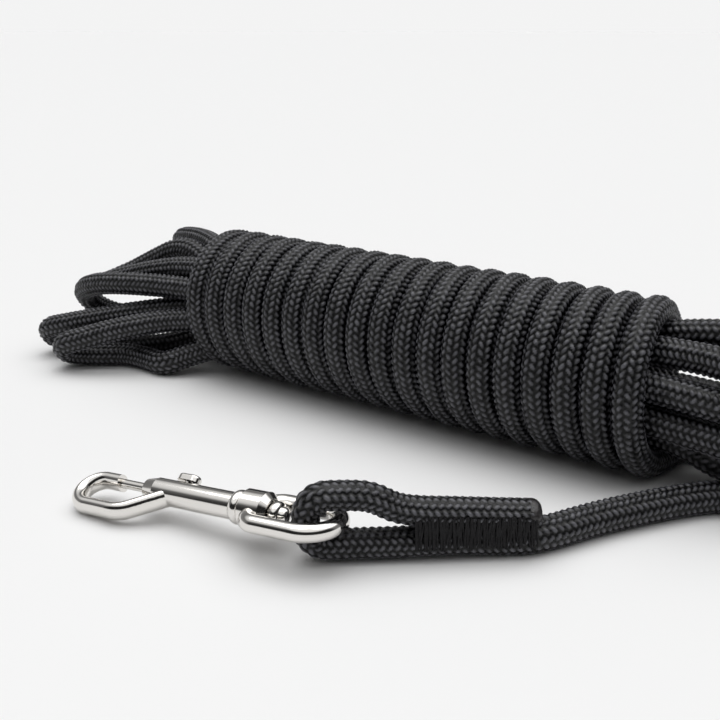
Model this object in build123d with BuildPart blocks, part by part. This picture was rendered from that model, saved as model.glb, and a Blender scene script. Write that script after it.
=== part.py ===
"""Dog training leash: a braided rope wound into a hank, with a swivel bolt snap on its free end.

Millimetres. +X runs along the hank towards its right end, +Y away from the snap, +Z up.
The origin is on the table, at the middle of the whole part's footprint.
"""

import math
import os

from build123d import *

# ---------------------------------------------------------------- rope and hank
ROPE_D = 8.0            # braided rope, outside diameter
WRAPS = 19              # turns wound round the bundle
WRAP_PITCH = 8.25       # from one turn to the next
WRAP_RADIUS = 20.0      # hank axis to the middle of the wound rope
FIRST_WRAP_X = -63.8    # middle of the leftmost turn
HANK_Y = 38.0           # hank axis, across
VALLEY_RISE = 0.6       # how far the groove between two turns stays above their middles
PLUG_DEPTH = 6.0        # how far the bundle ends are let into the wound part
CORE_CLEARANCE = 0.2    # bundle to the inside of the turns

# ---------------------------------------------------------------- eye and splice
EYE_HEADING = 40.0      # degrees from +X, from the ring along the splice
EYE_SEAT = (45.2, -48.2)    # where the rope bears on the ring, in plan
EYE_RADIUS = 5.9        # middle of the rope round the ring
EYE_SLACK = 2.0         # straight part of the eye on the ring's inner side
EYE_LEG = 8.0           # from the ring to where the upper leg comes down
SPLICE_START = 17.0     # from the ring, where the legs lie side by side
SPLICE_END = 37.0       # from the ring, where the sewing stops
TAIL_END = 45.0         # from the ring, where the short leg is cut and sealed
FLAT_D = 6.4            # rope squeezed flat where it is sewn and where it bears
SEWN_GAP = 0.85         # between the two sewn legs, filled with thread
STITCH_LENGTH = 19.0
STITCH_THICKNESS = 0.5  # thread outside the legs
STITCH_HEIGHT = 7.4
RUN_LEAD = 8.0          # free rope still in line with the splice
SEAL_LENGTH = 2.4       # melted cap of a cut end

# ---------------------------------------------------------------- swivel bolt snap
RING_BAR_D = 4.3        # round bar of the swivel eye
RING_BEND_R = 7.15      # middle of the bar round its far end
RING_CORNER_R = 5.0     # middle of the bar at the hub's corners
HUB_MIDDLE = 20.6       # ring's far bar to the middle of the hub
HUB_R = 4.8
HUB_LENGTH = 7.4
HUB_BEVEL = 1.4
STEM_R = 1.8
STEM_CLEARANCE = 0.08   # running fit in the hub
SWIVEL_PLAY = 0.3       # end play of the swivel, each side of the hub
RIVET_R = 3.1
RIVET_LENGTH = 2.4
DOME_R = 2.1
DOME_LENGTH = 2.0
COLLAR_R = 4.1
COLLAR_LENGTH = 2.8
BARREL_R = 3.3
BARREL_LENGTH = 26.0    # back of the collar to the end of the straight barrel
NOSE_LENGTH = 3.4       # cone on the barrel's front
NOSE_R = 2.5
REAR_WALL = 3.4         # solid end of the barrel that holds the stem
STEM_SEAT = 2.8         # stem let into that wall
FRONT_WALL = 1.8        # barrel wall that the bolt runs through
BOLT_R = 1.2
PISTON_R = 1.7          # thick back end of the bolt, inside the barrel
PISTON_LENGTH = 8.6
SLIDE_CLEARANCE = 0.09  # running fit of the bolt in the barrel
SLOT_CLEARANCE = 0.2    # stud's neck in its slot
BOLT_REACH = 8.5        # barrel's front to the face of the hook's tip
BOLT_TRAVEL = 7.0
BOLT_GAP = 0.05         # closed bolt to the hook's tip
HOOK_OFFSET = 9.4       # snap's axis to the middle of the hook's back
HOOK_END = 19.4         # barrel's front to the outside of the bow
HOOK_DEPTH = 3.7        # thickness of the hook's bar in the hook's plane
HOOK_WIDTH = 5.0        # across that plane
STUD_FROM_FRONT = 10.6  # barrel's front to the middle of the stud
STUD_NECK_R = 0.95
STUD_LENGTH = 6.4
STUD_WIDTH = 3.4
STUD_HEIGHT = 1.8
STUD_GAP = 0.3
SPRING_R = 1.3          # middle of the coils
SPRING_WIRE = 0.5
SPRING_TURNS = 6

SNAP_HEADING = 186.5    # degrees from +X, from the ring towards the hook
SNAP_SLOPE = 4.4        # degrees down towards the hook
RING_ROLL = -6.0        # ring turned about the snap's axis, near side up
HOOK_ROLL = 17.0        # hook turned about the snap's axis, near side down
STUD_ROLL = 38.0        # thumb stud, up from level on the far side

# ---------------------------------------------------------------- worked out
HANK_Z = WRAP_RADIUS + ROPE_D / 2
CORE_R = WRAP_RADIUS - ROPE_D / 2
LEFT_X = FIRST_WRAP_X - WRAP_PITCH / 2
RIGHT_X = FIRST_WRAP_X + (WRAPS - 0.5) * WRAP_PITCH
STRAND_R = CORE_R - ROPE_D / 2 - 0.1
LOW = ROPE_D / 2        # middle of a rope that lies on the table


def strand_seat(number):
    """Place of one strand in the bundle's end: eight round the outside, two inside."""
    if number >= 8:
        side = -1 if number == 8 else 1
        return HANK_Y + side * ROPE_D / 2, HANK_Z
    angle = math.radians(22.5 + 45.0 * number)
    return HANK_Y - STRAND_R * math.sin(angle), HANK_Z + STRAND_R * math.cos(angle)


# Loops that stand out of the hank's left end: the two strands each joins, and its middle line.
LEFT_LOOPS = [
    (7, 6, [(-78, 44.1, 38.5), (-91.5, 50.6, 39.5), (-103, 54.1, 38.5), (-112, 57.6, 36.5),
            (-116, 63.1, 31.5), (-110, 66.6, 27), (-98, 63.6, 25.5), (-84, 55.1, 26.5)]),
    (9, 0, [(-78, 41.4, 30.5), (-90, 43.6, 36.5), (-100, 44.1, 35.5), (-110.5, 41.6, 30),
            (-119.5, 39.1, 26), (-124, 34.1, 23.3), (-122, 28.1, 23.3), (-115, 26.1, 25.8), (-106, 29.1, 28.5),
            (-95, 30.1, 31.5), (-82, 32.1, 34)]),
    (1, 5, [(-79, 25.1, 28.5), (-97, 19.1, 28.5), (-114, 17.6, 26.5), (-126.5, 20.1, 22),
            (-131, 25.1, 16), (-127, 30.1, 11), (-117, 33.1, 9.5), (-99, 38.6, 14), (-79, 44.6, 17)]),
    (8, 4, [(-79, 28.6, 21), (-97, 17.6, 18), (-112, 10.1, 14.5), (-120.5, 5.1, 12.3), (-127, 6.1, 9),
            (-127.3, 11.1, 4.8), (-119, 15.6, 4), (-108, 19.1, 4), (-98, 24.1, 4), (-88, 28.1, 5.5),
            (-78, 35.6, 9.5)]),
    (2, 3, [(-77, 21.6, 18.5), (-93, 7.6, 15.5), (-102.5, -0.9, 12), (-109, -4.2, 10), (-112, -1.4, 5.5),
            (-108, 4.1, 4), (-101.5, 8.6, 4), (-96, 13.1, 4), (-86, 14.1, 4), (-77, 12.6, 4),
            (-71, 19.6, 7)]),
]
# Loops at the right end.
RIGHT_LOOPS = [
    (7, 9, [(95, 40.6, 40), (106, 43.1, 40.5), (116, 44.6, 38.5), (123, 44.6, 33.5), (122, 44.1, 26.5),
            (113, 43.6, 22.5), (102, 42.6, 23)]),
    (0, 2, [(95, 32.6, 36), (106, 29.1, 36.5), (115, 24.6, 35), (121.5, 21.6, 29.5), (120.5, 21.6, 22),
            (112, 24.1, 18), (101, 26.1, 18.3)]),
    (8, 1, [(96, 34.6, 22.5), (104, 36.1, 22), (111, 33.6, 23.5), (111, 27.1, 26), (103, 25.1, 27.5)]),
    (5, 6, [(97, 51.6, 16.5), (108, 55.6, 16), (117, 57.1, 18.5), (120, 56.1, 24.5), (115, 55.1, 30.5),
            (104, 52.6, 31)]),
]
# Free rope from the splice, along the table and back into the hank's right end.
RUN_POINTS = [
    (86.5, -4.9, 4), (94, 7.6, 4), (102, 19.3, 4), (109, 26.6, 4), (119.5, 25.6, 4),
    (130, 31.1, 4), (130.5, 43.1, 4), (120, 48.6, 4), (111.5, 43.1, 4), (103.5, 35.6, 7.3),
]
# The rope's other end, off the back of the leftmost turn and out along the table.
END_POINTS = [(-71, 58.1, 18), (-77, 57.1, 11), (-85, 54.6, 6), (-94, 52.1, 4), (-103, 50.6, 4)]


def corner_radii(points):
    """Largest tangent arc for each corner: 0.45 of the shorter run over the half turn's tangent."""
    radii = []
    for before, here, after in zip(points, points[1:], points[2:]):
        come = Vector(*here) - Vector(*before)
        go = Vector(*after) - Vector(*here)
        turn = come.get_angle(go)
        radii.append(0.45 * min(come.length, go.length) / math.tan(math.radians(turn / 2)))
    return radii


def rope_solid(points, name):
    """A round tube along straight runs joined by tangent arcs, added to the part being built."""
    radii = corner_radii(points)
    with BuildLine() as middle:
        FilletPolyline(*points, radius=radii)
    wire = middle.wires()[0]
    with BuildSketch(Plane(origin=wire @ 0, z_dir=wire % 0)) as section:
        Circle(ROPE_D / 2)
    sweep(sections=section.sketch, path=wire)
    print(f"{name}: length {wire.length:.1f}, tightest arcs",
          " ".join(f"{r:.1f}" for r in sorted(radii)[:4]))
    return wire.length


def write(part, name):
    """Label one finished piece and write its file."""
    part.label = name
    export_step(part, f"parts/{name}.step")


os.makedirs("parts", exist_ok=True)

# ================================================================ hank: the wound turns
with BuildPart() as hank_wraps:
    with BuildSketch(Plane.XZ.offset(-HANK_Y)) as turn_profile:
        with BuildLine() as turn_outline:
            groove = HANK_Z + WRAP_RADIUS + VALLEY_RISE
            crest = HANK_Z + WRAP_RADIUS + ROPE_D / 2
            for turn in range(WRAPS):
                start = LEFT_X + turn * WRAP_PITCH
                ThreePointArc((start, groove), (start + WRAP_PITCH / 2, crest), (start + WRAP_PITCH, groove))
            Polyline(
                (RIGHT_X, groove), (RIGHT_X, HANK_Z + CORE_R), (RIGHT_X - PLUG_DEPTH, HANK_Z + CORE_R),
                (RIGHT_X - PLUG_DEPTH, HANK_Z), (LEFT_X + PLUG_DEPTH, HANK_Z),
                (LEFT_X + PLUG_DEPTH, HANK_Z + CORE_R), (LEFT_X, HANK_Z + CORE_R), (LEFT_X, groove),
            )
        make_face()
    revolve(axis=Axis((0, HANK_Y, HANK_Z), (1, 0, 0)))
write(hank_wraps.part, "hank_wraps")


def loop_bundle(mouth_x, inward, loops, name):
    """The bundle's end plug with its loops, as one solid."""
    with BuildPart() as bundle:
        with BuildSketch(Plane(origin=(mouth_x, HANK_Y, HANK_Z), z_dir=(inward, 0, 0))):
            Circle(CORE_R - CORE_CLEARANCE)
        extrude(amount=PLUG_DEPTH)
        for first, second, middle in loops:
            start = (mouth_x + inward * 1.0, *strand_seat(first))
            finish = (mouth_x + inward * 1.0, *strand_seat(second))
            rope_solid([start] + middle + [finish], name)
        with BuildSketch(Plane(origin=(mouth_x, HANK_Y, HANK_Z), z_dir=(inward, 0, 0))):
            Circle(2 * CORE_R)
            Circle(CORE_R - CORE_CLEARANCE, mode=Mode.SUBTRACT)
        extrude(amount=2 * PLUG_DEPTH, mode=Mode.SUBTRACT)
    return bundle.part


write(loop_bundle(LEFT_X, 1, LEFT_LOOPS, "left loop"), "hank_loops_left")
write(loop_bundle(RIGHT_X, -1, RIGHT_LOOPS, "right loop"), "hank_loops_right")

# ================================================================ free rope
along = Vector(math.cos(math.radians(EYE_HEADING)), math.sin(math.radians(EYE_HEADING)), 0)
seat = Vector(*EYE_SEAT, 0)


def on_splice(distance, height):
    """A point in the eye's upright plane, by its distance from the ring along the splice."""
    point = seat + along * distance
    return (point.X, point.Y, height)


run_seat_y, run_seat_z = strand_seat(3)
with BuildPart() as rope_run:
    run_length = rope_solid(
        [on_splice(SPLICE_END, LOW), on_splice(SPLICE_END + RUN_LEAD, LOW)] + RUN_POINTS
        + [(RIGHT_X + 7.7, run_seat_y, run_seat_z), (RIGHT_X, run_seat_y, run_seat_z)],
        "run",
    )
write(rope_run.part, "rope_run")
print(f"run: volume over section times length {rope_run.part.volume / (math.pi * LOW**2 * run_length):.4f}")

# ================================================================ eye round the ring, and the sewn legs
eye_plane = Plane(origin=(seat.X, seat.Y, 0), x_dir=along, z_dir=along.cross(Vector(0, 0, 1)))
lower_z = LOW
upper_z = lower_z + 2 * EYE_RADIUS
sewn_z = lower_z + FLAT_D + SEWN_GAP
with BuildPart() as rope_eye:
    with BuildLine(eye_plane) as eye_line:
        Line((SPLICE_START, lower_z), (-EYE_SLACK, lower_z))
        ThreePointArc(
            (-EYE_SLACK, lower_z), (-EYE_SLACK - EYE_RADIUS, lower_z + EYE_RADIUS), (-EYE_SLACK, upper_z)
        )
        Line((-EYE_SLACK, upper_z), (0, upper_z))
        Bezier((0, upper_z), (EYE_LEG, upper_z), (EYE_LEG, sewn_z), (SPLICE_START, sewn_z))
    eye_wire = eye_line.wires()[0]
    with BuildSketch(Plane(origin=eye_wire @ 0, x_dir=(0, 0, 1), z_dir=eye_wire % 0)):
        Ellipse(FLAT_D / 2, ROPE_D / 2)
    sweep(path=eye_wire)
write(rope_eye.part, "rope_eye")
print(f"eye: length {eye_wire.length:.1f}")


def sewn_leg(height, start, finish):
    """One flattened leg of the splice, straight, in the eye's plane."""
    with BuildSketch(Plane(origin=on_splice(start, height), x_dir=(0, 0, 1), z_dir=along)) as section:
        Ellipse(FLAT_D / 2, ROPE_D / 2)
    extrude(section.sketch, amount=finish - start)


with BuildPart() as rope_standing:
    sewn_leg(lower_z, SPLICE_START, SPLICE_END)
write(rope_standing.part, "rope_standing")

with BuildPart() as rope_tail:
    sewn_leg(sewn_z, SPLICE_START, TAIL_END - SEAL_LENGTH)
write(rope_tail.part, "rope_tail")

# melted cap on the cut end of the short leg
with BuildPart() as tail_seal:
    with BuildSketch(Plane(origin=on_splice(TAIL_END - SEAL_LENGTH, sewn_z), x_dir=(0, 0, 1), z_dir=along)):
        Ellipse(FLAT_D / 2 + 0.1, ROPE_D / 2 + 0.1)
    with BuildSketch(Plane(origin=on_splice(TAIL_END, sewn_z), x_dir=(0, 0, 1), z_dir=along)):
        Ellipse(FLAT_D / 2 - 1.3, ROPE_D / 2 - 1.5)
    loft()
write(tail_seal.part, "tail_seal")

# ================================================================ sewing through both legs
with BuildPart() as splice_stitching:
    middle_z = (lower_z + sewn_z) / 2
    with BuildSketch(Plane(origin=on_splice(SPLICE_START + 0.5, middle_z), x_dir=(0, 0, 1), z_dir=along)):
        RectangleRounded(STITCH_HEIGHT, ROPE_D + 2 * STITCH_THICKNESS, 0.8)
        with Locations((lower_z - middle_z, 0), (sewn_z - middle_z, 0)):
            Ellipse(FLAT_D / 2 + 0.02, ROPE_D / 2 + 0.02, mode=Mode.SUBTRACT)
    extrude(amount=STITCH_LENGTH)
write(splice_stitching.part, "splice_stitching")

# ================================================================ far end of the rope
with BuildPart() as rope_end:
    rope_solid([(LEFT_X, HANK_Y + WRAP_RADIUS, HANK_Z)] + END_POINTS, "end")
    split(bisect_by=Plane(origin=(LEFT_X - 0.02, 0, 0), z_dir=(-1, 0, 0)), keep=Keep.TOP)
write(rope_end.part, "rope_end")

end_last = Vector(*END_POINTS[-1])
end_direction = (end_last - Vector(*END_POINTS[-2])).normalized()
with BuildPart() as end_seal:
    with BuildSketch(Plane(origin=end_last, z_dir=end_direction)):
        Circle(ROPE_D / 2 - 0.05)
    with BuildSketch(Plane(origin=end_last + end_direction * SEAL_LENGTH, z_dir=end_direction)):
        Circle(ROPE_D / 2 - 1.5)
    loft()
write(end_seal.part, "end_seal")

# ================================================================ swivel bolt snap
# The snap is drawn along its own axis: x from the ring towards the hook, z up. One place
# then sets it on the rope's eye, with the ring's bar where the rope bears on it.
crossing = math.radians(SNAP_HEADING - 180 - EYE_HEADING)
slope = math.radians(SNAP_SLOPE)
heading = math.radians(SNAP_HEADING)
snap_x = Vector(math.cos(heading) * math.cos(slope), math.sin(heading) * math.cos(slope), -math.sin(slope))
snap_y = Vector(-math.sin(heading), math.cos(heading), 0)
snap_z = snap_x.cross(snap_y)
ring_roll = math.radians(RING_ROLL)
bar_x = RING_BEND_R * (1 - math.cos(crossing))
bar_y = RING_BEND_R * math.sin(crossing) * math.cos(ring_roll)
bar_z = -RING_BEND_R * math.sin(crossing) * math.sin(ring_roll)
bearing = Vector(seat.X, seat.Y, lower_z + EYE_RADIUS)
snap_origin = bearing - snap_x * bar_x - snap_y * bar_y - snap_z * bar_z
snap_place = Plane(origin=snap_origin, x_dir=snap_x, z_dir=snap_z).location


def rolled(angle, x=0.0):
    """Plane through the snap's axis whose own y points at this roll below level, on the near side."""
    turn = math.radians(angle)
    return Plane(origin=(x, 0, 0), x_dir=(1, 0, 0), z_dir=(0, math.sin(turn), math.cos(turn)))


def across_axis(x):
    """Plane square to the snap's axis."""
    return Plane(origin=(x, 0, 0), x_dir=(0, 1, 0), z_dir=(1, 0, 0))


hub_back = HUB_MIDDLE - HUB_LENGTH / 2
hub_front = HUB_MIDDLE + HUB_LENGTH / 2
barrel_back = hub_front + SWIVEL_PLAY
barrel_shoulder = barrel_back + BARREL_LENGTH
barrel_front = barrel_shoulder + NOSE_LENGTH
tip_face = barrel_front + BOLT_REACH
stud_x = barrel_front - STUD_FROM_FRONT
piston_back = stud_x - PISTON_LENGTH / 2
piston_front = stud_x + PISTON_LENGTH / 2
bore_r = PISTON_R + SLIDE_CLEARANCE

# ---------------------------------------------------------------- swivel eye
with BuildPart() as swivel_eye:
    with BuildLine(rolled(RING_ROLL)):
        FilletPolyline(
            (HUB_MIDDLE, HUB_R - 1.2), (HUB_MIDDLE, RING_BEND_R), (0, RING_BEND_R),
            (0, -RING_BEND_R), (HUB_MIDDLE, -RING_BEND_R), (HUB_MIDDLE, -HUB_R + 1.2),
            radius=[min(RING_CORNER_R, RING_BEND_R - HUB_R + 1.1), RING_BEND_R - 0.01, RING_BEND_R - 0.01,
                    min(RING_CORNER_R, RING_BEND_R - HUB_R + 1.1)],
        )
    ring_line = swivel_eye.pending_edges_as_wire
    with BuildSketch(Plane(origin=ring_line @ 0, z_dir=ring_line % 0)):
        Circle(RING_BAR_D / 2)
    sweep(path=ring_line)
    with BuildSketch(Plane.XY):
        with BuildLine():
            Polyline(
                (hub_back, 0), (hub_back, HUB_R - HUB_BEVEL), (hub_back + HUB_BEVEL, HUB_R),
                (hub_front - 0.5, HUB_R), (hub_front, HUB_R - 0.5), (hub_front, 0), (hub_back, 0),
            )
        make_face()
    revolve(axis=Axis.X)
    with BuildSketch(across_axis(hub_back - 1)):
        Circle(STEM_R + STEM_CLEARANCE)
    extrude(amount=HUB_LENGTH + 2, mode=Mode.SUBTRACT)
write(swivel_eye.part.moved(snap_place), "swivel_eye")

# ---------------------------------------------------------------- swivel stem, riveted in front of the hub
with BuildPart() as swivel_stem:
    head_back = hub_back - SWIVEL_PLAY
    with BuildSketch(Plane.XY):
        with BuildLine():
            Polyline(
                (head_back - RIVET_LENGTH - DOME_LENGTH, 0.4),
                (head_back - RIVET_LENGTH - DOME_LENGTH, 0), (barrel_back + STEM_SEAT, 0),
                (barrel_back + STEM_SEAT, STEM_R), (head_back, STEM_R), (head_back, RIVET_R - 0.5),
            )
            ThreePointArc((head_back, RIVET_R - 0.5), (head_back - RIVET_LENGTH / 2, RIVET_R),
                          (head_back - RIVET_LENGTH, DOME_R))
            ThreePointArc((head_back - RIVET_LENGTH, DOME_R),
                          (head_back - RIVET_LENGTH - DOME_LENGTH * 0.72, DOME_R * 0.74),
                          (head_back - RIVET_LENGTH - DOME_LENGTH, 0.4))
        make_face()
    revolve(axis=Axis.X)
write(swivel_stem.part.moved(snap_place), "swivel_stem")

# ---------------------------------------------------------------- snap body: barrel and hook in one casting
with BuildPart() as snap_body:
    with BuildSketch(Plane.XY):
        with BuildLine():
            Polyline((barrel_back, 0), (barrel_back, COLLAR_R - 0.9))
            ThreePointArc((barrel_back, COLLAR_R - 0.9), (barrel_back + COLLAR_LENGTH * 0.5, COLLAR_R),
                          (barrel_back + COLLAR_LENGTH, BARREL_R))
            Polyline((barrel_back + COLLAR_LENGTH, BARREL_R), (barrel_shoulder, BARREL_R),
                     (barrel_front, NOSE_R), (barrel_front, 0), (barrel_back, 0))
        make_face()
    revolve(axis=Axis.X)
    bow_x = barrel_front + HOOK_END - HOOK_DEPTH / 2
    with BuildLine(rolled(HOOK_ROLL)) as hook_line:
        FilletPolyline(
            (barrel_shoulder - 5.5, 0.3), (barrel_front + 2.2, HOOK_OFFSET), (bow_x, HOOK_OFFSET),
            (bow_x, 0), (tip_face, 0),
            radius=[8.0, HOOK_OFFSET / 2 - 0.01, HOOK_OFFSET / 2 - 0.01],
        )
    hook_wire = hook_line.wires()[0]
    with BuildSketch(Plane(origin=hook_wire @ 0, x_dir=rolled(HOOK_ROLL).z_dir, z_dir=hook_wire % 0)):
        Ellipse(HOOK_WIDTH / 2, HOOK_DEPTH / 2)
    sweep(path=hook_wire)
    # bore, bolt hole and stem seat
    with BuildSketch(across_axis(barrel_back + REAR_WALL)):
        Circle(bore_r)
    extrude(amount=barrel_front - FRONT_WALL - barrel_back - REAR_WALL, mode=Mode.SUBTRACT)
    with BuildSketch(across_axis(barrel_front - FRONT_WALL - 1)):
        Circle(BOLT_R + SLIDE_CLEARANCE)
    extrude(amount=tip_face - 0.5 - barrel_front + FRONT_WALL, mode=Mode.SUBTRACT)
    with BuildSketch(across_axis(barrel_back - 1)):
        Circle(STEM_R)
    extrude(amount=STEM_SEAT + 1, mode=Mode.SUBTRACT)
    # slot that the thumb stud slides in
    slot_half = STUD_NECK_R + SLOT_CLEARANCE
    slot_plane = rolled(STUD_ROLL)
    with BuildSketch(Plane(origin=(0, 0, 0), x_dir=(1, 0, 0), z_dir=-slot_plane.y_dir)):
        with Locations((stud_x - BOLT_TRAVEL / 2, 0)):
            SlotOverall(BOLT_TRAVEL + 2 * slot_half + 0.4, 2 * slot_half)
    extrude(amount=BARREL_R + 2, mode=Mode.SUBTRACT)
write(snap_body.part.moved(snap_place), "snap_body")

# ---------------------------------------------------------------- sliding bolt
with BuildPart() as bolt:
    with BuildSketch(across_axis(piston_back)):
        Circle(PISTON_R)
    extrude(amount=PISTON_LENGTH)
    with BuildSketch(across_axis(piston_front)):
        Circle(BOLT_R)
    extrude(amount=tip_face - BOLT_GAP - piston_front)
    chamfer(bolt.faces().sort_by(Axis.X)[-1].edges(), length=0.25)
write(bolt.part.moved(snap_place), "bolt")

# ---------------------------------------------------------------- thumb stud
stud_axis = -slot_plane.y_dir
with BuildPart() as thumb_stud:
    with BuildSketch(Plane(origin=Vector(stud_x, 0, 0) + stud_axis * (PISTON_R - 0.5), x_dir=(1, 0, 0),
                           z_dir=stud_axis)):
        Circle(STUD_NECK_R)
    extrude(amount=BARREL_R + STUD_GAP - PISTON_R + 0.7)
    with BuildSketch(across_axis(piston_back)):
        Circle(PISTON_R + 0.01)
    extrude(amount=PISTON_LENGTH, mode=Mode.SUBTRACT)
    with BuildSketch(Plane(origin=Vector(stud_x, 0, 0) + stud_axis * (BARREL_R + STUD_GAP), x_dir=(1, 0, 0),
                           z_dir=stud_axis)):
        SlotOverall(STUD_LENGTH, STUD_WIDTH)
    extrude(amount=STUD_HEIGHT)
    fillet(thumb_stud.faces().sort_by(Axis((0, 0, 0), tuple(stud_axis)))[-1].edges(), radius=0.8)
write(thumb_stud.part.moved(snap_place), "thumb_stud")

# ---------------------------------------------------------------- spring behind the bolt
spring_back = barrel_back + REAR_WALL + SPRING_WIRE / 2 + 0.05
spring_length = piston_back - SPRING_WIRE / 2 - 0.05 - spring_back
with BuildPart() as bolt_spring:
    with BuildLine() as coil:
        Helix(pitch=spring_length / SPRING_TURNS, height=spring_length, radius=SPRING_R,
              center=(spring_back, 0, 0), direction=(1, 0, 0))
    coil_wire = coil.wires()[0]
    with BuildSketch(Plane(origin=coil_wire @ 0, z_dir=coil_wire % 0)):
        Circle(SPRING_WIRE / 2)
    sweep(path=coil_wire, is_frenet=True)
write(bolt_spring.part.moved(snap_place), "bolt_spring")
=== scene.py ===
import math

import bmesh
import bpy
import numpy as np
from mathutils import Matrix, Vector


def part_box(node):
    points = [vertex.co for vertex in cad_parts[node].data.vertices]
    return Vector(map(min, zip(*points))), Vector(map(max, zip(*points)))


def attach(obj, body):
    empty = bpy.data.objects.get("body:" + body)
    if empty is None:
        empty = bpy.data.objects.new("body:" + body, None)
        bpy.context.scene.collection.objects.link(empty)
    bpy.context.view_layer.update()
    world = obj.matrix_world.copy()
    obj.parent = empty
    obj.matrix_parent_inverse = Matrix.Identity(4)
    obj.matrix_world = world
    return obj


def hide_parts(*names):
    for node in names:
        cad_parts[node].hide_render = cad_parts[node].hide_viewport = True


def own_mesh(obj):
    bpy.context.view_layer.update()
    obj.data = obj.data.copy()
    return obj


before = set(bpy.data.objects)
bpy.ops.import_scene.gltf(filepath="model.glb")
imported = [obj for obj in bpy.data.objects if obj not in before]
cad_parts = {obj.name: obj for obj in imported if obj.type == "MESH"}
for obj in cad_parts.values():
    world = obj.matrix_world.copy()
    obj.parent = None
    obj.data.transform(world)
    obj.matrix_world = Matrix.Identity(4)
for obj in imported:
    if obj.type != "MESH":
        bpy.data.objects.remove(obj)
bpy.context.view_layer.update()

random = np.random.default_rng(7)


# ---------------------------------------------------------------- camera
# In front of the leash and to its right, a little above the table, looking down across it.
camera_data = bpy.data.cameras.new("camera")
camera_data.sensor_width = 36.0
camera_data.lens = 47.4
camera_data.clip_start = 0.01
camera = bpy.data.objects.new("camera", camera_data)
bpy.context.scene.collection.objects.link(camera)
camera.location = (0.1590, -0.1984, 0.1133)
camera.rotation_euler = (math.radians(90) - 0.335, 0.0, 0.6255)
bpy.context.scene.camera = camera


# ---------------------------------------------------------------- the rope
# One round braid of twenty-four charcoal-black polyester strands, 8 mm thick and about 5.2 m long.
# It starts at the cut tail on the splice, goes round the snap's ring and back, crosses the table
# into the hank, zigzags through it ten times and is wound round itself nineteen times.
rope_d = 0.008
hank_y = 0.0380
hank_z = 0.0240
left_mouth = -0.067925
right_mouth = 0.088825
mouth_depth = 0.014
strand_circle = 0.0119
outer_strands = 8

# the ten strands inside the hank: eight in a circle, two side by side in its middle
seats = []
for number in range(outer_strands):
    angle = 2 * math.pi * (number + 0.5) / outer_strands
    seats.append((hank_y - strand_circle * math.sin(angle), hank_z + strand_circle * math.cos(angle)))
seats.append((hank_y - rope_d / 2, hank_z))
seats.append((hank_y + rope_d / 2, hank_z))

# the eye and the splice lie in one upright plane; distance from the ring, then height
eye_side = [
    (0.0432, 0.0103), (0.0350, 0.0106), (0.0270, 0.0110), (0.0190, 0.0113), (0.0125, 0.0122),
    (0.0075, 0.0152), (0.0030, 0.0160), (-0.0079, 0.0160), (-0.0079, 0.0039), (0.0030, 0.0039),
    (0.0110, 0.0038), (0.0190, 0.0040), (0.0280, 0.0040), (0.0370, 0.0040), (0.0450, 0.0040),
]
ring_x = 0.0452
ring_y = -0.0482
eye_cos = math.cos(math.radians(40))
eye_sin = math.sin(math.radians(40))
route = []
for distance, height in eye_side:
    route.append((ring_x + distance * eye_cos, ring_y + distance * eye_sin, height))

# along the table, round the bend at the right and up into the hank
route += [
    (0.0865, -0.0049, 0.0040), (0.0940, 0.0076, 0.0040), (0.1020, 0.0193, 0.0040),
    (0.1090, 0.0266, 0.0040), (0.1195, 0.0256, 0.0040), (0.1300, 0.0311, 0.0040),
    (0.1305, 0.0431, 0.0040), (0.1200, 0.0486, 0.0040), (0.1115, 0.0431, 0.0040),
    (0.1040, 0.0354, 0.0075), (0.0960, 0.0337, 0.0118),
    (right_mouth - 0.0010, seats[3][0], seats[3][1]),
    (right_mouth - mouth_depth, seats[3][0], seats[3][1]),
]

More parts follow.
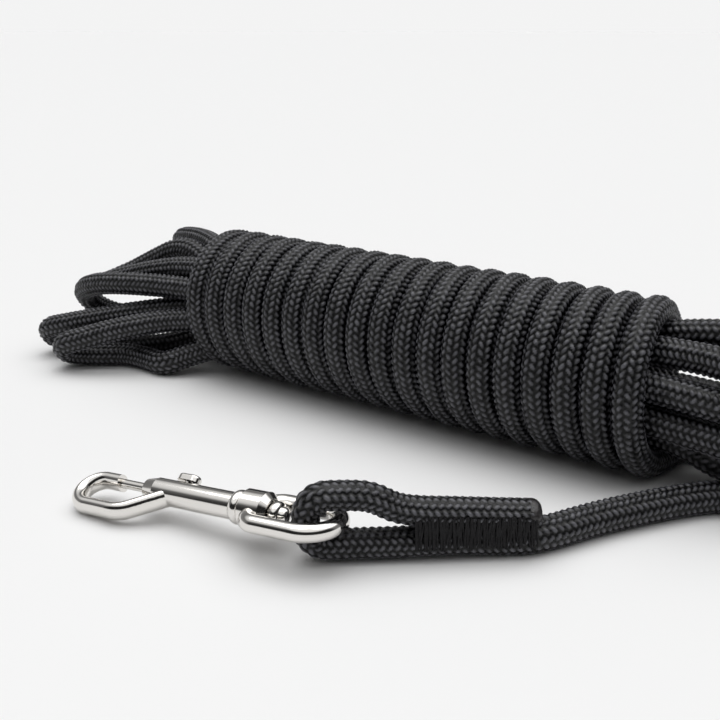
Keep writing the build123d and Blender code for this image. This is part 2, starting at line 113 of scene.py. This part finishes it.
# loops at the two ends, in the order the rope takes them: strand it leaves, strand it enters
loops = [
    ("left", 3, 2, [
        (-0.0710, 0.0196, 0.0070), (-0.0770, 0.0126, 0.0040), (-0.0860, 0.0141, 0.0040),
        (-0.0960, 0.0131, 0.0040), (-0.1015, 0.0086, 0.0040), (-0.1080, 0.0041, 0.0040),
        (-0.1120, -0.0014, 0.0055), (-0.1090, -0.0042, 0.0100), (-0.1025, -0.0009, 0.0120),
        (-0.0930, 0.0076, 0.0155), (-0.0770, 0.0216, 0.0185),
    ]),
    ("right", 2, 0, [
        (0.1010, 0.0261, 0.0183), (0.1120, 0.0241, 0.0180), (0.1205, 0.0216, 0.0220),
        (0.1215, 0.0216, 0.0295), (0.1150, 0.0246, 0.0350), (0.1060, 0.0291, 0.0365),
        (0.0950, 0.0326, 0.0360),
    ]),
    ("left", 0, 9, [
        (-0.0820, 0.0321, 0.0340), (-0.0950, 0.0301, 0.0315), (-0.1060, 0.0291, 0.0285),
        (-0.1150, 0.0261, 0.0258), (-0.1220, 0.0281, 0.0233), (-0.1240, 0.0341, 0.0233),
        (-0.1195, 0.0391, 0.0260), (-0.1105, 0.0416, 0.0310), (-0.1000, 0.0441, 0.0365),
        (-0.0900, 0.0436, 0.0370), (-0.0780, 0.0414, 0.0305),
    ]),
    ("right", 9, 7, [
        (0.1020, 0.0426, 0.0230), (0.1130, 0.0436, 0.0225), (0.1220, 0.0441, 0.0265),
        (0.1230, 0.0446, 0.0335), (0.1160, 0.0446, 0.0385), (0.1060, 0.0431, 0.0405),
        (0.0950, 0.0406, 0.0400),
    ]),
    ("left", 7, 6, [
        (-0.0780, 0.0441, 0.0385), (-0.0915, 0.0506, 0.0395), (-0.1030, 0.0541, 0.0385),
        (-0.1120, 0.0576, 0.0365), (-0.1170, 0.0626, 0.0295), (-0.1125, 0.0640, 0.0205),
        (-0.1010, 0.0600, 0.0160), (-0.0890, 0.0550, 0.0185), (-0.0780, 0.0510, 0.0240),
    ]),
    ("right", 6, 5, [
        (0.1040, 0.0526, 0.0310), (0.1150, 0.0551, 0.0305), (0.1200, 0.0561, 0.0245),
        (0.1170, 0.0571, 0.0185), (0.1080, 0.0556, 0.0160), (0.0970, 0.0516, 0.0165),
    ]),
    ("left", 5, 1, [
        (-0.0790, 0.0446, 0.0170), (-0.0990, 0.0386, 0.0140), (-0.1170, 0.0331, 0.0095),
        (-0.1270, 0.0301, 0.0110), (-0.1310, 0.0251, 0.0160), (-0.1265, 0.0201, 0.0220),
        (-0.1140, 0.0176, 0.0265), (-0.0970, 0.0191, 0.0285), (-0.0790, 0.0251, 0.0285),
    ]),
    ("right", 1, 8, [
        (0.1030, 0.0251, 0.0275), (0.1110, 0.0271, 0.0260), (0.1110, 0.0336, 0.0235),
        (0.1040, 0.0361, 0.0220), (0.0960, 0.0346, 0.0225),
    ]),
    ("left", 8, 4, [
        (-0.0790, 0.0286, 0.0210), (-0.0970, 0.0176, 0.0180), (-0.1120, 0.0101, 0.0145),
        (-0.1205, 0.0051, 0.0125), (-0.1275, 0.0034, 0.0105), (-0.1300, 0.0070, 0.0058),
        (-0.1235, 0.0106, 0.0040), (-0.1120, 0.0136, 0.0040), (-0.0990, 0.0211, 0.0040),
        (-0.0880, 0.0281, 0.0055), (-0.0780, 0.0356, 0.0095),
    ]),
]
hidden_from = []
for side, leaves, enters, middle in loops:
    mouth = left_mouth + mouth_depth if side == "left" else right_mouth - mouth_depth
    hidden_from.append(len(route))
    route.append((mouth, seats[leaves][0], seats[leaves][1]))
    route += middle
    route.append((mouth, seats[enters][0], seats[enters][1]))
hidden_from.append(len(route))

# out of the last strand at the right and on to the first turn
route += [
    (right_mouth - mouth_depth, seats[4][0], seats[4][1]), (0.0900, 0.0428, 0.0126),
    (0.0985, 0.0436, 0.0100), (0.1045, 0.0496, 0.0062), (0.1015, 0.0572, 0.0042),
    (0.0930, 0.0560, 0.0040), (0.0890, 0.0480, 0.0040),
]

# the nineteen turns, right to left: up the front, over the top and down the back. Each leans back
# as it climbs, and its points stand a little outside the turn, which a smooth line cuts inside.
turn_count = 19
turn_pitch = 0.00825
turn_points = 12
last_turn_points = 9
first_turn_x = -0.0638
turn_radius = 0.0200
smoothing = 0.966
climb_lean = 0.0104
fall_lean = 0.0061
half_lean = 0.0026
pitch_wander = 0.00018
radius_wander = 0.00012
for turn in range(turn_count - 1, -1, -1):
    sway = random.uniform(-pitch_wander, pitch_wander)
    for step in range(turn_points if turn else last_turn_points):
        part = step / turn_points
        lean = half_lean - climb_lean * part if part <= 0.5 else -half_lean - fall_lean * (part - 0.5)
        swell = turn_radius / smoothing + random.uniform(-radius_wander, radius_wander)
        angle = 2 * math.pi * part
        route.append((
            first_turn_x + turn_pitch * turn + lean + sway,
            hank_y - swell * math.sin(angle),
            hank_z - swell * math.cos(angle),
        ))

# the end of the last turn, tucked down behind the left loops
route += [
    (-0.0710, 0.0581, 0.0180), (-0.0770, 0.0571, 0.0110), (-0.0850, 0.0546, 0.0060),
    (-0.0940, 0.0521, 0.0040), (-0.1030, 0.0506, 0.0040),
]


def mesh_of(curve_data):
    """The mesh that a curve gives. The curve's own object is thrown away."""
    holder = bpy.data.objects.new(curve_data.name, curve_data)
    bpy.context.scene.collection.objects.link(holder)
    drawn = holder.evaluated_get(bpy.context.evaluated_depsgraph_get())
    mesh = bpy.data.meshes.new_from_object(drawn)
    bpy.data.objects.remove(holder)
    return mesh


def add_line(curve_data, line_points):
    """A smooth line with these control points."""
    line = curve_data.splines.new("NURBS")
    line.points.add(len(line_points) - 1)
    for control, point in zip(line.points, line_points):
        control.co = (point[0], point[1], point[2], 1.0)
    line.order_u = 3
    line.use_endpoint_u = True


def place_piece(name, mesh, look):
    """A new piece in the scene, of one material."""
    mesh.materials.clear()
    mesh.materials.append(look)
    mesh.shade_smooth()
    piece = bpy.data.objects.new(name, mesh)
    bpy.context.scene.collection.objects.link(piece)
    return piece


# the rope's middle line
line_data = bpy.data.curves.new("rope_line", "CURVE")
line_data.dimensions = "3D"
line_data.resolution_u = 8
add_line(line_data, route)
rope_path = [vertex.co.copy() for vertex in mesh_of(line_data).vertices]

# the braid's rings along the same line: close together where it shows, far apart inside the hank
knots = np.array(route)
hidden_knots = set()
for first in hidden_from:
    hidden_knots.add(first - 1)
    hidden_knots.add(first)
fine_step = 0.00040
coarse_step = 0.003
long_stretch = 0.05
shown_margin = 0.016
stretches = []
for index in range(len(knots) - 2):
    start = knots[index] if index == 0 else (knots[index] + knots[index + 1]) / 2
    corner = knots[index + 1]
    finish = knots[index + 2] if index == len(knots) - 3 else (knots[index + 1] + knots[index + 2]) / 2
    size = np.linalg.norm(corner - start) + np.linalg.norm(finish - corner)
    along = np.linspace(0.0, 1.0, max(2, int(round(size / fine_step))), endpoint=False)
    if (index + 1) in hidden_knots and size > long_stretch:
        coarse = np.linspace(0.0, 1.0, int(size / coarse_step), endpoint=False)
        shown = along[(along * size < shown_margin) | ((1 - along) * size < shown_margin)]
        hidden = coarse[(coarse * size >= shown_margin) & ((1 - coarse) * size >= shown_margin)]
        along = np.sort(np.concatenate([shown, hidden]))
    along = along[:, None]
    stretches.append((1 - along) ** 2 * start + 2 * along * (1 - along) * corner + along ** 2 * finish)
stretches.append(knots[-1:])
middle_line = np.concatenate(stretches)
steps = np.linalg.norm(np.diff(middle_line, axis=0), axis=1)
length_at = np.concatenate([[0.0], np.cumsum(steps)])
rope_length = float(length_at[-1])
heading = np.gradient(middle_line, axis=0)
heading /= np.linalg.norm(heading, axis=1)[:, None]
side_way = np.zeros_like(heading)
side_way[0] = (eye_sin, -eye_cos, 0.0)
for ring in range(1, len(heading)):
    carried = side_way[ring - 1] - heading[ring] * np.dot(side_way[ring - 1], heading[ring])
    side_way[ring] = carried / np.linalg.norm(carried)
up_way = np.cross(heading, side_way)

# the braid: twelve strands run each way round, and each goes over two and under two of the others
around = 60
turn_of = np.arange(around) / around
strands_each_way = 12
lay = 0.0215
left_hand = strands_each_way * (turn_of[None, :] - length_at[:, None] / lay)
right_hand = strands_each_way * (turn_of[None, :] + length_at[:, None] / lay)
left_cell = np.floor(left_hand)
right_cell = np.floor(right_hand)
over = np.mod(left_cell + right_cell, 4)
left_on_top = over < 2
across = np.where(left_on_top, left_hand - left_cell, right_hand - right_cell) - 0.5
travel_left = (right_hand - right_cell + over) / 2
travel_right = (left_hand - left_cell + (over - 2)) / 2
travel = np.where(left_on_top, travel_left, travel_right)
strand_fill = 1.92
strand = np.sqrt(np.clip(1 - (strand_fill * across) ** 2, 0.0, 1.0))
bulge = np.sin(np.pi * np.clip(travel, 0.0, 1.0)) ** 0.6
crown = strand * bulge
strand_stands_proud = 0.00014
groove_depth = 0.00085
reach = rope_d / 2 + strand_stands_proud - groove_depth * (1 - crown)

# no two strands are quite the same shade
shade = 0.85 + 0.3 * np.mod(np.sin(left_cell * 12.9 + right_cell * 78.2) * 43758.5, 1.0)

# pressed flat round the ring and where it is sewn, most at the cut tail
tail_flat = 0.70
sewn_flat = 0.82
pressed = np.interp(
    length_at, [0.0, 0.020, 0.094, 0.104, rope_length], [tail_flat, sewn_flat, sewn_flat, 1.0, 1.0],
)
widened = np.interp(length_at, [0.0, 0.094, 0.104, rope_length], [1.01, 1.01, 1.0, 1.0])
angle = 2 * math.pi * turn_of[None, :, None]
surface = (
    middle_line[:, None, :]
    + side_way[:, None, :] * np.cos(angle) * (reach * widened[:, None])[:, :, None]
    + up_way[:, None, :] * np.sin(angle) * (reach * pressed[:, None])[:, :, None]
)
table_gap = 0.00002
surface[:, :, 2] = np.maximum(surface[:, :, 2], table_gap)

# the skin: a band of four-sided faces between each ring and the next, and a fan at each end
rings = len(middle_line)
points = np.concatenate([surface.reshape(-1, 3), middle_line[:1], middle_line[-1:]])
ring_index = np.arange(rings - 1)[:, None] * around
this_index = np.arange(around)[None, :]
next_index = (this_index + 1) % around
quads = np.stack([
    ring_index + this_index,
    ring_index + next_index,
    ring_index + around + next_index,
    ring_index + around + this_index,
], axis=-1).reshape(-1, 4)
first_middle = rings * around
last_middle = first_middle + 1
last_ring = (rings - 1) * around
fans = []
for number in range(around):
    after = (number + 1) % around
    fans.append((after, number, first_middle))
    fans.append((last_ring + number, last_ring + after, last_middle))
fans = np.array(fans)
rope_mesh = bpy.data.meshes.new("rope")
rope_mesh.vertices.add(len(points))
rope_mesh.vertices.foreach_set("co", points.astype(np.float32).ravel())
corners = np.concatenate([quads.ravel(), fans.ravel()])
rope_mesh.loops.add(len(corners))
rope_mesh.loops.foreach_set("vertex_index", corners.astype(np.int32))
starts = np.concatenate([np.arange(len(quads)) * 4, len(quads) * 4 + np.arange(len(fans)) * 3])
rope_mesh.polygons.add(len(starts))
rope_mesh.polygons.foreach_set("loop_start", starts.astype(np.int32))
rope_mesh.update(calc_edges=True)
rope_mesh.validate()
# painted light: each strand's crown is painted lighter as a highlight and the grooves near black as
# shade, times each strand's own tone
painted_light_layer = rope_mesh.attributes.new("crown", "FLOAT", "POINT")
tone_and_painted_light = np.concatenate([(crown * shade).ravel(), [0.3, 0.3]])
painted_light_layer.data.foreach_set("value", tone_and_painted_light.astype(np.float32))


def new_look(name):
    """A material, its skin shader and its nodes."""
    look = bpy.data.materials.new(name)
    look.use_nodes = True
    return look, look.node_tree.nodes["Principled BSDF"], look.node_tree


def add_grain(tree, scale, detail):
    """Fine noise that is fixed to the piece."""
    where = tree.nodes.new("ShaderNodeTexCoord")
    grain = tree.nodes.new("ShaderNodeTexNoise")
    grain.inputs["Scale"].default_value = scale
    grain.inputs["Detail"].default_value = detail
    tree.links.new(where.outputs["Object"], grain.inputs["Vector"])
    return grain


def roughen(tree, skin, grain, strength, depth):
    """Small bumps on the skin where the grain is high."""
    bump = tree.nodes.new("ShaderNodeBump")
    bump.inputs["Strength"].default_value = strength
    bump.inputs["Distance"].default_value = depth
    tree.links.new(grain.outputs["Fac"], bump.inputs["Height"])
    tree.links.new(bump.outputs["Normal"], skin.inputs["Normal"])


def tint(tree, skin, source, low_colour, high_colour, low_spot=0.0):
    """The skin's colour, from one colour where the source is low to another where it is high."""
    ramp = tree.nodes.new("ShaderNodeValToRGB")
    ramp.color_ramp.elements[0].position = low_spot
    ramp.color_ramp.elements[0].color = low_colour
    ramp.color_ramp.elements[1].color = high_colour
    tree.links.new(source.outputs["Fac"], ramp.inputs["Fac"])
    tree.links.new(ramp.outputs["Color"], skin.inputs["Base Color"])


# charcoal strands: painted shade, nearly black, in the grooves between them, and a painted highlight on
# each one's back
rope_look, rope_skin, rope_tree = new_look("rope")
rope_skin.inputs["Roughness"].default_value = 0.33
rope_skin.inputs["Specular IOR Level"].default_value = 0.32
painted_light_source = rope_tree.nodes.new("ShaderNodeAttribute")
painted_light_source.attribute_name = "crown"
tint(rope_tree, rope_skin, painted_light_source, (0.0010, 0.0010, 0.0013, 1.0), (0.110, 0.110, 0.123, 1.0), 0.56)
roughen(rope_tree, rope_skin, add_grain(rope_tree, 2600.0, 2.0), 0.35, 0.00012)
rope = place_piece("rope", rope_mesh, rope_look)
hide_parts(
    "hank_wraps", "hank_loops_left", "hank_loops_right", "rope_run",
    "rope_standing", "rope_eye", "rope_tail", "rope_end",
)
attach(rope, "leash")


# ---------------------------------------------------------------- sewing on the splice
# Heavy black thread that sews the folded-back rope to itself. Close, rough stitches cross the groove
# between the two legs on both sides, pulled in where they bridge it.
thread_look, thread_skin, thread_tree = new_look("thread")
thread_skin.inputs["Roughness"].default_value = 0.75
thread_skin.inputs["Specular IOR Level"].default_value = 0.2
thread_fuzz = add_grain(thread_tree, 2200.0, 2.0)
tint(thread_tree, thread_skin, thread_fuzz, (0.0010, 0.0010, 0.0012, 1.0), (0.0300, 0.0290, 0.0310, 1.0))
thread_data = bpy.data.curves.new("sewing", "CURVE")
thread_data.dimensions = "3D"
thread_data.bevel_depth = 0.00023
thread_data.bevel_resolution = 1
thread_data.resolution_u = 5
stitch_count = 84
sewing_start = 0.0166
sewing_length = 0.0276
tail_sinks = 0.0010
for face in (1, -1):
    stitches = []
    for stitch in range(stitch_count):
        done = stitch / stitch_count
        distance = sewing_start + sewing_length * done + random.uniform(-0.0004, 0.0004)
        drop = tail_sinks * done
        top = 0.0124 - drop + random.uniform(-0.0010, 0.0005)
        low = 0.0027 + random.uniform(-0.0009, 0.0013)
        slant = random.uniform(-0.0008, 0.0012)
        lift = random.uniform(-0.0001, 0.0004)
        for along, height, out in (
            (0.0, top, 0.0037),
            (0.2, 0.0102 - drop, 0.0040 + lift),
            (0.5, 0.0076 - 0.5 * drop, 0.0032 + lift),
            (0.7, 0.0052, 0.0040 + lift),
            (1.0, low, 0.0038),
        ):
            stitch_at = distance + along * slant
            stitches.append((
                ring_x + stitch_at * eye_cos + face * out * eye_sin,
                ring_y + stitch_at * eye_sin - face * out * eye_cos,
                height,
            ))
    add_line(thread_data, stitches)
sewing = place_piece("sewing", mesh_of(thread_data), thread_look)
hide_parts("splice_stitching")
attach(sewing, "leash")


# ---------------------------------------------------------------- melted ends
# Both ends of the rope are cut hot, which melts the strands into a hard, dull, lumpy cap.
melt_look, melt_skin, melt_tree = new_look("melted_end")
melt_skin.inputs["Roughness"].default_value = 0.36
melt_grain = add_grain(melt_tree, 900.0, 2.0)
tint(melt_tree, melt_skin, melt_grain, (0.0030, 0.0028, 0.0030, 1.0), (0.0260, 0.0215, 0.0225, 1.0))
roughen(melt_tree, melt_skin, melt_grain, 0.7, 0.0004)

# rings of a cap: how far past the rope's end, and how wide beside the rope
cap_rings = [
    (-0.0010, 0.97), (-0.0002, 1.01), (0.0006, 1.00),
    (0.0013, 0.93), (0.0018, 0.78), (0.0021, 0.52),
]
cap_height = 0.0022
cap_sides = 40
for name, node, end, outward, flat in (
    ("tail_cap", "tail_seal", 0, -1, tail_flat),
    ("end_cap", "end_seal", -1, 1, 1.0),
):
    centre = Vector(middle_line[end])
    ahead = Vector(heading[end]) * outward
    sideways = Vector(side_way[end]) * rope_d / 2
    upward = Vector(up_way[end]) * flat * rope_d / 2
    cap_build = bmesh.new()
    ring_before = None
    for out, size in cap_rings:
        cap_ring = []
        for number in range(cap_sides):
            angle = 2 * math.pi * number / cap_sides
            lump = 1 + 0.03 * math.sin(5 * angle + 900 * out) + 0.02 * math.sin(11 * angle)
            outside = sideways * math.cos(angle) + upward * math.sin(angle)
            cap_ring.append(cap_build.verts.new(centre + ahead * out + outside * size * lump))
        if ring_before is None:
            cap_build.faces.new(cap_ring)
        else:
            for number in range(cap_sides):
                cap_build.faces.new((
                    ring_before[number - 1], ring_before[number], cap_ring[number], cap_ring[number - 1],
                ))
        ring_before = cap_ring
    tip = cap_build.verts.new(centre + ahead * cap_height)
    for number in range(cap_sides):
        cap_build.faces.new((ring_before[number - 1], ring_before[number], tip))
    bmesh.ops.recalc_face_normals(cap_build, faces=cap_build.faces)
    cap_mesh = bpy.data.meshes.new(name)
    cap_build.to_mesh(cap_mesh)
    cap_build.free()
    cap = place_piece(name, cap_mesh, melt_look)
    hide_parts(node)
    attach(cap, "leash")


# ---------------------------------------------------------------- bolt snap
# Swivel eye, riveted stem, hook and barrel, bolt and stud: zinc castings under bright nickel
# plate, whose slightly wavy skin breaks up what it reflects.
plate_look, plate_skin, plate_tree = new_look("nickel_plate")
plate_skin.inputs["Base Color"].default_value = (0.76, 0.74, 0.71, 1.0)
plate_skin.inputs["Metallic"].default_value = 1.0
plate_skin.inputs["Roughness"].default_value = 0.10
roughen(plate_tree, plate_skin, add_grain(plate_tree, 180.0, 1.0), 0.12, 0.0003)

# the edges of all five parts are a little rounded
for name in ("swivel_eye", "swivel_stem", "snap_body", "bolt", "thumb_stud"):
    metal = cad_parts[name]
    metal.data.materials.clear()
    metal.data.materials.append(plate_look)
    edge = metal.modifiers.new("edge", "BEVEL")
    edge.width = 0.0003
    edge.segments = 2
    edge.limit_method = "ANGLE"
    edge.angle_limit = math.radians(40)


# ---------------------------------------------------------------- bolt spring
# A small coil of drawn steel wire inside the barrel, closed up between the bolt's piston and the
# barrel's rear wall. It keeps the bolt shut and shortens as the stud is drawn back.
wire_look, wire_skin, wire_tree = new_look("spring_wire")
wire_skin.inputs["Base Color"].default_value = (0.56, 0.56, 0.57, 1.0)
wire_skin.inputs["Metallic"].default_value = 1.0
wire_skin.inputs["Roughness"].default_value = 0.3
roughen(wire_tree, wire_skin, add_grain(wire_tree, 1800.0, 2.0), 0.2, 0.0001)
wire_d = 0.0005
coil_radius = 0.0013
coil_turns = 6
points_a_turn = 12

# the barrel's middle line, and the spring's two ends along it
spring_way = Vector((0.990644, 0.11287, 0.076719)).normalized()
spring_up = (Vector((0, 0, 1)) - spring_way * spring_way.z).normalized()
spring_side = spring_way.cross(spring_up)
spots_along = [corner.co.dot(spring_way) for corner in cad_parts["bolt_spring"].data.vertices]
front_end = min(spots_along)
fixed_end = max(spots_along)
low_corner, high_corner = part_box("bolt_spring")
box_middle = (Vector(low_corner) + Vector(high_corner)) / 2
axis_point = box_middle - spring_way * box_middle.dot(spring_way)
coil_data = bpy.data.curves.new("bolt_spring_coil", "CURVE")
coil_data.dimensions = "3D"
coil_data.bevel_depth = wire_d / 2
coil_data.bevel_resolution = 2
coil_steps = coil_turns * points_a_turn
coil_room = fixed_end - front_end - wire_d
coil = []
for step in range(coil_steps + 1):
    angle = 2 * math.pi * step / points_a_turn
    coil.append(
        axis_point + spring_way * (front_end + wire_d / 2 + coil_room * step / coil_steps)
        + spring_side * (coil_radius * math.cos(angle))
        + spring_up * (coil_radius * math.sin(angle))
    )
add_line(coil_data, coil)
spring = place_piece("closing_spring", mesh_of(coil_data), wire_look)
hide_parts("bolt_spring")
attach(spring, "snap")
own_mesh(spring)


# ---------------------------------------------------------------- table and light
# A pale plain table top that runs out to the horizon, in a bright, soft studio light.
# The bright plate mostly shows the room, so the room is pale, dim and pale again from table to ceiling.
table_reach = 60.0
floor_mesh = bpy.data.meshes.new("table_top")
floor_mesh.from_pydata(
    [
        (-table_reach, -table_reach, 0), (table_reach, -table_reach, 0),
        (table_reach, table_reach, 0), (-table_reach, table_reach, 0),
    ],
    [], [(0, 1, 2, 3)],
)
floor_look, floor_skin = new_look("table_top")[:2]
floor_skin.inputs["Base Color"].default_value = (0.86, 0.86, 0.86, 1.0)
floor_skin.inputs["Roughness"].default_value = 0.7
floor_skin.inputs["Specular IOR Level"].default_value = 0.1
floor_mesh.materials.append(floor_look)
floor = bpy.data.objects.new("table_top", floor_mesh)
bpy.context.scene.collection.objects.link(floor)

# the room: how bright it is by height, from the table's edge to the ceiling
world = bpy.data.worlds.new("studio")
world.use_nodes = True
room = world.node_tree
way = room.nodes.new("ShaderNodeTexCoord")
apart = room.nodes.new("ShaderNodeSeparateXYZ")
room.links.new(way.outputs["Generated"], apart.inputs[0])
upness = room.nodes.new("ShaderNodeValToRGB")
upness.color_ramp.elements[0].position = 0.0
upness.color_ramp.elements[0].color = (0.90, 0.90, 0.90, 1.0)
upness.color_ramp.elements[1].position = 0.78
upness.color_ramp.elements[1].color = (1.0, 1.0, 1.0, 1.0)
for spot, tone in ((0.09, 0.90), (0.20, 0.24), (0.50, 0.17), (0.64, 0.70)):
    stop = upness.color_ramp.elements.new(spot)
    stop.color = (tone, tone, tone, 1.0)
room.links.new(apart.outputs["Z"], upness.inputs["Fac"])


def soft_edge(source, start, finish):
    """From 0 to 1 as the source goes from start to finish."""
    edge = room.nodes.new("ShaderNodeMapRange")
    edge.interpolation_type = "SMOOTHSTEP"
    edge.inputs["From Min"].default_value = start
    edge.inputs["From Max"].default_value = finish
    room.links.new(source, edge.inputs["Value"])
    return edge.outputs["Result"]


def both(first, second):
    """The two edges multiplied."""
    product = room.nodes.new("ShaderNodeMath")
    product.operation = "MULTIPLY"
    room.links.new(first, product.inputs[0])
    room.links.new(second, product.inputs[1])
    return product.outputs["Value"]


# behind the camera, from about 10 to 35 degrees up, it is nearly black: something dark to reflect
frontness = room.nodes.new("ShaderNodeVectorMath")
frontness.operation = "DOT_PRODUCT"
frontness.inputs[1].default_value = (0.586, -0.810, 0.0)
room.links.new(way.outputs["Generated"], frontness.inputs[0])
dark_wall = both(
    both(soft_edge(frontness.outputs["Value"], 0.0, 0.40), soft_edge(apart.outputs["Z"], 0.10, 0.18)),
    soft_edge(apart.outputs["Z"], 0.72, 0.58),
)
wall = room.nodes.new("ShaderNodeMix")
wall.data_type = "RGBA"
wall_share, wall_pale, wall_dark = wall.inputs[0], wall.inputs[6], wall.inputs[7]
wall_dark.default_value = (0.02, 0.02, 0.02, 1.0)
room.links.new(dark_wall, wall_share)
room.links.new(upness.outputs["Color"], wall_pale)
room.links.new(wall.outputs[2], room.nodes["Background"].inputs["Color"])
room.nodes["Background"].inputs["Strength"].default_value = 1.0
bpy.context.scene.world = world

# two wide soft lamps overhead: the stronger a little to the left, the other behind on the right
for name, spot, power, spread in (
    ("key", (-0.30, 0.05, 0.95), 0.85, 50),
    ("back", (0.20, 0.35, 0.90), 0.60, 60),
):
    lamp_data = bpy.data.lights.new(name, "SUN")
    lamp_data.energy = power
    lamp_data.angle = math.radians(spread)
    lamp = bpy.data.objects.new(name, lamp_data)
    lamp.location = spot
    lamp.rotation_euler = Vector(spot).to_track_quat("Z", "Y").to_euler()
    bpy.context.scene.collection.objects.link(lamp)
bpy.context.scene.view_settings.view_transform = "Standard"
